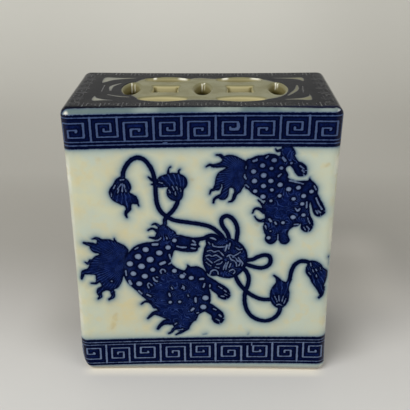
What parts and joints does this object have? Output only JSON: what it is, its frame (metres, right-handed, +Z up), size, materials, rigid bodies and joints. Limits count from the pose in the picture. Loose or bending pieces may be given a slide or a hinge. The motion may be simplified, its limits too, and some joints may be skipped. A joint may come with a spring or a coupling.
{
  "type": "ceramic pillow",
  "caption": "Rectangular slab-built ceramic pillow, standing on end, with coin-lattice openings through both ends and a blue printed glaze.",
  "frame": {"origin": "middle of the end face that the pillow stands on", "axes": "+Z up from that end to the other, -Y towards the printed front, +X across the front to its right"},
  "size_m": [0.13, 0.072, 0.145],
  "materials": {
    "printed_panel_glaze": "gloss",
    "side_panel_glaze": "gloss",
    "pierced_end_glaze": "gloss",
    "inner_clay": "matte"
  },
  "bodies": {
    "root": {"base_end_plate": "pierced_end_glaze", "top_end_plate": "pierced_end_glaze", "front_panel": "printed_panel_glaze", "back_panel": "printed_panel_glaze", "left_side_panel": "side_panel_glaze", "right_side_panel": "side_panel_glaze", "upright_coil_back_right": "inner_clay", "upright_coil_back_left": "inner_clay", "upright_coil_front_left": "inner_clay", "upright_coil_front_right": "inner_clay", "base_coil_front": "inner_clay", "base_coil_right": "inner_clay", "base_coil_back": "inner_clay", "base_coil_left": "inner_clay"}
  },
  "joints": []
}
